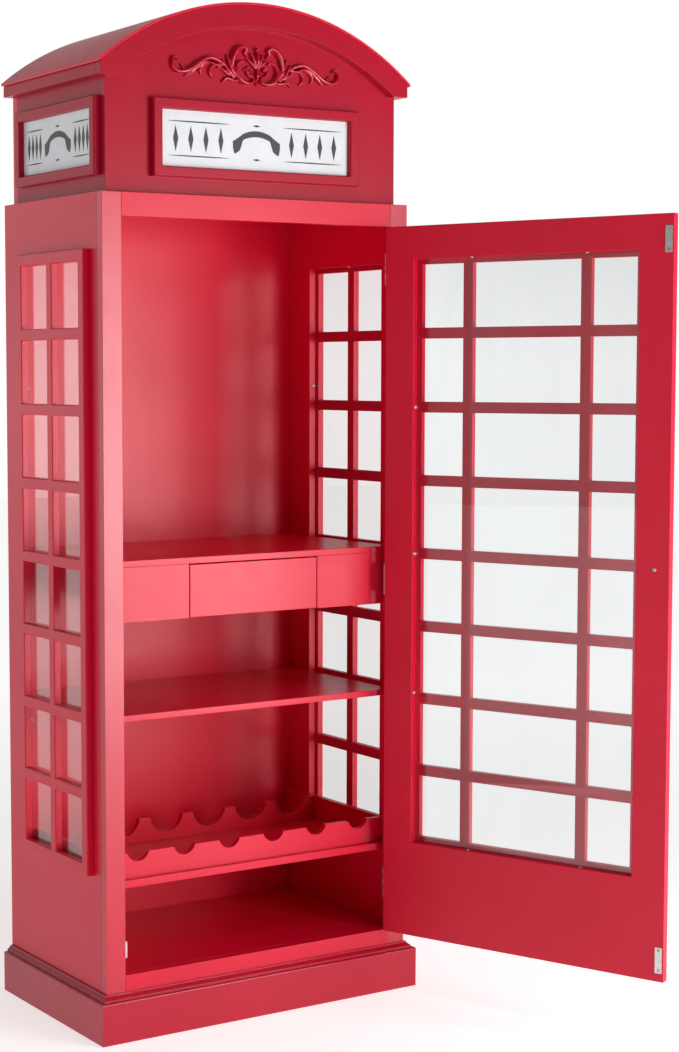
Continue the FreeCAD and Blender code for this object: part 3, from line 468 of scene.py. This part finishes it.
def carve():
    """Fuses the ridges and berries of both halves into one carving, cut flat at the wall."""
    low, high = (Vector(corner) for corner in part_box("ornament"))
    wall = high.y
    bm = bmesh.new()
    for side in (-1, 1):
        for points in RIDGES:
            ridge(bm, points, side, wall, low.z)
        for x, z, radius, proud in BEADS:
            bead(bm, x, z, radius, proud, side, wall, low.z)
    mesh = mesh_from(bm, "ornament_carving")
    piece = finished("ornament_carving", mesh, CARVED, "cabinet", ("ornament",))
    fuse = piece.modifiers.new("fuse", "REMESH")
    fuse.mode = "VOXEL"
    fuse.voxel_size = CARVING_VOXEL
    fuse.use_smooth_shade = True
    soften = piece.modifiers.new("soften", "SMOOTH")
    soften.factor = 0.5
    soften.iterations = 3
    graph = bpy.context.evaluated_depsgraph_get()
    solid = bpy.data.meshes.new_from_object(piece.evaluated_get(graph))
    piece.modifiers.clear()
    bm = bmesh.new()
    bm.from_mesh(solid)
    whole = bm.verts[:] + bm.edges[:] + bm.faces[:]
    cut = bmesh.ops.bisect_plane(bm, geom=whole, plane_co=(0, wall, 0), plane_no=(0, 1, 0),
                                 clear_outer=True)
    rim = [item for item in cut["geom_cut"] if isinstance(item, bmesh.types.BMEdge)]
    bmesh.ops.holes_fill(bm, edges=rim, sides=0)
    for face in bm.faces:
        face.smooth = True
    bm.to_mesh(piece.data)
    bm.free()


carve()


# ---- sign inlays ----

# All in millimetres on a plate, from its middle.
INLAY_PROUD = 0.35
FRAME_BORDER = 19
ROW_START = 62          # where the rows of lozenges start
ROW_MARGIN = 16         # what they leave free at the plate's end
LOZENGES = 4
LOZENGE = (5.5, 24)     # half width and half height
TICK = (9, 2.2)
LINE_HEIGHT = 31
LINE_THICK = 1.2
HANDSET_HALF = 52


def plaque(bm, outline, frame_of, depth):
    """A thin raised shape on a sign plate, from a flat outline in millimetres."""
    front = [bm.verts.new(frame_of(x, z, depth)) for x, z in outline]
    back = [bm.verts.new(frame_of(x, z, 0.0)) for x, z in outline]
    bm.faces.new(front)
    bm.faces.new(back[::-1])
    count = len(outline)
    for index in range(count):
        after = (index + 1) % count
        bm.faces.new((front[index], back[index], back[after], front[after]))


def handset():
    """The outline of a plain telephone handset, arched over its two ends."""
    top, bottom = [], []
    for step in range(41):
        t = step / 20 - 1            # -1 at one end and 1 at the other
        end = min(1.0, max(0.0, (abs(t) - 0.56) / 0.16))
        end = end * end * (3 - 2 * end)
        tip = max(0.0, (abs(t) - 0.9) / 0.1)
        half = (6.5 + 8.5 * end) * math.sqrt(max(0.0, 1 - tip * tip) * 0.8 + 0.2)
        x = HANDSET_HALF * t
        z = 18 - 20 * t * t
        top.append((x, z + 5.2 - 0.2 * half))
        bottom.append((x, z + 5.2 - 0.2 * half - (half * 1.7)))
    return top + bottom[::-1]


def diamond(x, z, wide, tall):
    """A lozenge from its middle, half width and half height."""
    return [(x - wide, z), (x, z + tall), (x + wide, z), (x, z - tall)]


def bar(x0, x1, z, tall):
    """A thin line that tapers to both ends."""
    count = 12
    share = [step / count for step in range(count + 1)]
    half = [tall * (0.18 + 0.82 * math.sin(math.pi * s) ** 0.6) for s in share]
    xs = [x0 + (x1 - x0) * s for s in share]
    return ([(x, z + h) for x, h in zip(xs, half)]
            + [(x, z - h) for x, h in zip(xs[::-1], half[::-1])])


def sign(name, half_wide, centre, right, outward):
    """Dark inlays on one plate: a handset between two rows of plain lozenges and lines."""
    bm = bmesh.new()

    def frame_of(x, z, depth):
        return centre + right * x * MM + Vector((0, 0, z * MM)) + outward * depth * MM

    plaque(bm, handset(), frame_of, INLAY_PROUD)
    outer = half_wide - ROW_MARGIN
    step = (outer - ROW_START) / LOZENGES
    for side in (-1, 1):
        for row in range(LOZENGES):
            x = side * (ROW_START + step * (row + 0.5))
            plaque(bm, diamond(x, 0, *LOZENGE), frame_of, INLAY_PROUD)
        for z in (-LINE_HEIGHT, LINE_HEIGHT):
            line = bar(side * (ROW_START - 2), side * outer, z, LINE_THICK)
            plaque(bm, line, frame_of, INLAY_PROUD)
    for z in (-LINE_HEIGHT, LINE_HEIGHT):
        plaque(bm, diamond(0, z, *TICK), frame_of, INLAY_PROUD)
    bmesh.ops.recalc_face_normals(bm, faces=bm.faces)
    finished(name, mesh_from(bm, name, smooth=False), INK, "cabinet")


def signs():
    """The inlays of the front, left and right plates, each inside its own frame."""
    plate_low, plate_high = (Vector(corner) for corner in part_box("sign_plates"))
    faces = {
        "front": (1, plate_low.y, Vector((1, 0, 0)), Vector((0, -1, 0))),
        "left": (0, plate_low.x, Vector((0, -1, 0)), Vector((-1, 0, 0))),
        "right": (0, plate_high.x, Vector((0, 1, 0)), Vector((1, 0, 0))),
    }
    for side, (axis, face, right, outward) in faces.items():
        low, high = (Vector(corner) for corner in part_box(f"sign_frame_{side}"))
        centre, size = (low + high) / 2, high - low
        centre[axis] = face
        half_wide = size[1 - axis] / MM / 2 - FRAME_BORDER
        sign(f"sign_inlay_{side}", half_wide, centre, right, outward)


signs()


# ---- screws ----

SAME_LEVEL = 1e-5       # points this close along a screw are in one plane
SLOT_TURN = 0.3
TURN_BETWEEN = 1.1      # each screw is turned this much further than the one before
LONG_SCREW = 0.02


def lathe(bm, profile, segments=24):
    """A solid turned about Z from (radius, height) points, the first and last on the axis."""
    rows = []
    for radius, height in profile:
        if radius == 0:
            rows.append([bm.verts.new((0, 0, height))])
        else:
            rows.append([bm.verts.new((radius * math.cos(2 * math.pi * k / segments),
                                       radius * math.sin(2 * math.pi * k / segments), height))
                         for k in range(segments)])
    for near, far in zip(rows, rows[1:]):
        for k in range(segments):
            after = (k + 1) % segments
            corners = [near[k % len(near)], near[after % len(near)],
                       far[after % len(far)], far[k % len(far)]]
            unique = list(dict.fromkeys(corners))
            if len(unique) > 2:
                bm.faces.new(unique)


def screw_mesh(name, head, thick, shank, long, domed=True):
    """One cross-slot screw in millimetres, its head's underside at 0 and its shank below."""
    bm = bmesh.new()
    if domed:
        top = [(0, thick), (head * 0.35, thick * 0.97), (head * 0.68, thick * 0.82),
               (head * 0.9, thick * 0.5), (head, thick * 0.16), (head, 0)]
    else:
        top = [(0, thick), (head * 0.92, thick), (head, thick * 0.86), (head, thick * 0.55)]
    lathe(bm, top + [(shank, 0), (shank, -long + 1.5), (0, -long)])
    bmesh.ops.recalc_face_normals(bm, faces=bm.faces)
    mesh = mesh_from(bm, name)
    cutter = bmesh.new()
    for turn in (SLOT_TURN, SLOT_TURN + math.pi / 2):
        made = bmesh.ops.create_cube(cutter, size=1.0)
        size = Matrix.Diagonal((head * 1.05, head * 0.24, thick * 1.1, 1.0))
        place = Matrix.Translation((0, 0, thick)) @ Matrix.Rotation(turn, 4, "Z")
        bmesh.ops.transform(cutter, matrix=place @ size, verts=made["verts"])
    cross = bpy.data.objects.new("cross", mesh_from(cutter, "cross", smooth=False))
    body = bpy.data.objects.new("screw", mesh)
    for thing in (cross, body):
        bpy.context.scene.collection.objects.link(thing)
    slot = body.modifiers.new("slot", "BOOLEAN")
    slot.operation = "DIFFERENCE"
    slot.solver = "EXACT"
    slot.use_self = True
    slot.object = cross
    graph = bpy.context.evaluated_depsgraph_get()
    result = bpy.data.meshes.new_from_object(body.evaluated_get(graph))
    for thing in (cross, body):
        bpy.data.objects.remove(thing)
    result.name = name
    return result


def islands(mesh):
    """The separate solids of a mesh, each as a list of its points, in a fixed order."""
    bm = bmesh.new()
    bm.from_mesh(mesh)
    bmesh.ops.remove_doubles(bm, verts=bm.verts, dist=WELD)
    left = set(bm.verts)
    groups = []
    while left:
        stack = [left.pop()]
        group = []
        while stack:
            vert = stack.pop()
            group.append(vert.co.copy())
            for edge in vert.link_edges:
                other = edge.other_vert(vert)
                if other in left:
                    left.discard(other)
                    stack.append(other)
        groups.append(group)
    bm.free()
    groups.sort(key=lambda points: [round(min(p[i] for p in points), 5) for i in range(3)])
    return groups


TO_SHUT = (Matrix.Translation(DOOR_PIN) @ Matrix.Rotation(-OPEN_ANGLE, 4, "Z")
           @ Matrix.Translation(-DOOR_PIN))
TO_OPEN = TO_SHUT.inverted()


def screws_like(node, on_door):
    """Where each screw of a CAD node is: its middle, axis, facing, head's top and length."""
    spots = []
    turn = TO_SHUT if on_door else Matrix.Identity(4)
    for group in islands(NODES[node].data):
        points = [turn @ point for point in group]
        low = Vector(min(p[i] for p in points) for i in range(3))
        high = Vector(max(p[i] for p in points) for i in range(3))
        size = high - low
        axis = max(range(3), key=lambda i: size[i])
        middle = (low + high) / 2

        def spread(level):
            near = [p for p in points if abs(p[axis] - level) < SAME_LEVEL]
            return max((abs(p[i] - middle[i]) for p in near for i in range(3) if i != axis),
                       default=0.0)

        outward = 1 if spread(high[axis]) > spread(low[axis]) else -1
        top = high[axis] if outward > 0 else low[axis]
        spots.append((middle, axis, outward, top, size[axis]))
    return spots


def scatter(name, node, choose, on_door=True):
    """Puts a modelled screw in the place of each of a CAD node's plain ones."""
    bm = bmesh.new()
    for number, (middle, axis, outward, top, long) in enumerate(screws_like(node, on_door)):
        mesh, thick = choose(long)
        facing = Vector([outward if i == axis else 0 for i in range(3)])
        seat = middle.copy()
        seat[axis] = top - outward * thick * MM
        turn = facing.to_track_quat("Z", "Y").to_matrix().to_4x4()
        spin = Matrix.Rotation(number * TURN_BETWEEN, 4, "Z")
        place = Matrix.Translation(seat) @ turn @ spin @ Matrix.Scale(MM, 4)
        if on_door:
            place = TO_OPEN @ place
        part = mesh.copy()
        part.transform(place)
        bm.from_mesh(part)
        bpy.data.meshes.remove(part)
    finished(name, mesh_from(bm, name), SCREW, BODY_OF[node], (node,))


# Each screw with the height of its head in millimetres.
PAN = screw_mesh("pan_screw", 4.0, 2.5, 1.6, 12.0), 2.5
FLUSH = screw_mesh("flush_screw", 2.8, 1.5, 1.6, 12.0, domed=False), 1.5
KNOB = screw_mesh("knob_bolt", 4.0, 2.0, 1.75, 30.0), 2.0
scatter("window_screws_cross", "window_glass_screws", lambda long: PAN, on_door=False)
scatter("door_glass_screws_cross", "door_glass_screws", lambda long: PAN)
scatter("door_screws_cross", "door_screws", lambda long: KNOB if long > LONG_SCREW else FLUSH)


# ---- floor, light and camera ----

FLOOR_HALF = 14.0
CAMERA_PLACE = (-2.0828, -3.3878, 1.2313)
CAMERA_YAW, CAMERA_PITCH, CAMERA_ROLL = 0.547, -0.079, -0.003


def floor():
    """A pale floor that glows a little, and more far away, so that it meets the background."""
    bm = bmesh.new()
    bmesh.ops.create_grid(bm, x_segments=2, y_segments=2, size=FLOOR_HALF)
    n = Nodes("studio_floor")
    away = n.add("ShaderNodeVectorMath", operation="LENGTH")
    n.put(away.inputs[0], n.place)
    glow = n.span(away.outputs["Value"], 1.5, 4.0, 0.62, 0.8)
    n.shade(Base_Color=colour(0.8, 0.8, 0.8), Roughness=0.8,
            Emission_Color=n.blend(glow, colour(0, 0, 0), colour(1, 1, 1)),
            Emission_Strength=1.0)
    mesh = mesh_from(bm, "studio_floor")
    mesh.materials.append(n.material)
    piece = bpy.data.objects.new("studio_floor", mesh)
    bpy.context.scene.collection.objects.link(piece)


def world():
    """A pale studio, white to the camera: bright behind the booth and dim in front of it."""
    studio = bpy.data.worlds.new("studio")
    bpy.context.scene.world = studio
    studio.use_nodes = True
    n = Tree(studio.node_tree)
    split = n.add("ShaderNodeSeparateXYZ")
    n.put(split.inputs[0], n.add("ShaderNodeTexCoord").outputs["Generated"])
    glow = n.span(split.outputs["Y"], -0.3, 0.8, 0.1, 1.35)
    for axis, ends in (("Z", (0.1, 0.75, 1.0, 0.2)), ("X", (-0.3, 0.3, 1.0, 0.74)),
                       ("Z", (0.0, 0.1, 1.0, 0.8))):
        glow = n.sum("MULTIPLY", glow, n.span(split.outputs[axis], *ends))
    seen = n.add("ShaderNodeLightPath").outputs["Is Camera Ray"]
    back = studio.node_tree.nodes["Background"]
    n.put(back.inputs["Strength"], n.sum("MAXIMUM", glow, seen))
    n.put(back.inputs["Color"], colour(1, 1, 1))


def softbox(name, place, aim, wide, tall, power):
    """A soft rectangular lamp that the camera does not see."""
    light = bpy.data.lights.new(name, "AREA")
    light.shape = "RECTANGLE"
    light.size = wide
    light.size_y = tall
    light.energy = power
    lamp = bpy.data.objects.new(name, light)
    lamp.location = place
    lamp.visible_camera = False
    lamp.rotation_euler = (Vector(aim) - Vector(place)).to_track_quat("-Z", "Y").to_euler()
    bpy.context.scene.collection.objects.link(lamp)


def camera():
    """The front left viewpoint, with its frame shifted off the lens's axis."""
    lens = bpy.data.cameras.new("camera")
    lens.lens = 69.6
    lens.sensor_width = 36.0
    lens.shift_x = 0.134
    lens.shift_y = 0.003
    lens.clip_start = 0.05
    lens.clip_end = 60.0
    view = bpy.data.objects.new("camera", lens)
    level = math.cos(CAMERA_PITCH)
    forward = Vector((math.sin(CAMERA_YAW) * level, math.cos(CAMERA_YAW) * level,
                      math.sin(CAMERA_PITCH)))
    turn = forward.to_track_quat("-Z", "Y").to_matrix().to_4x4()
    view.matrix_world = (Matrix.Translation(CAMERA_PLACE) @ turn
                         @ Matrix.Rotation(CAMERA_ROLL, 4, "Z"))
    bpy.context.scene.collection.objects.link(view)
    bpy.context.scene.camera = view


floor()
world()
softbox("key", (1.2, -2.3, 0.95), (0.0, 0.0, 0.75), 1.1, 1.5, 42)
softbox("fill", (0.7, -4.4, 0.9), (0.0, 0.0, 0.75), 1.8, 1.4, 20)
softbox("strip", (0.3, -2.4, 3.6), (0.0, 0.0, 0.6), 2.4, 0.25, 11)
softbox("top", (0.2, -0.6, 4.2), (0.0, 0.0, 0.0), 3.0, 3.0, 12)
camera()
bpy.context.scene.view_settings.view_transform = "Standard"
bpy.context.scene.view_settings.look = "None"
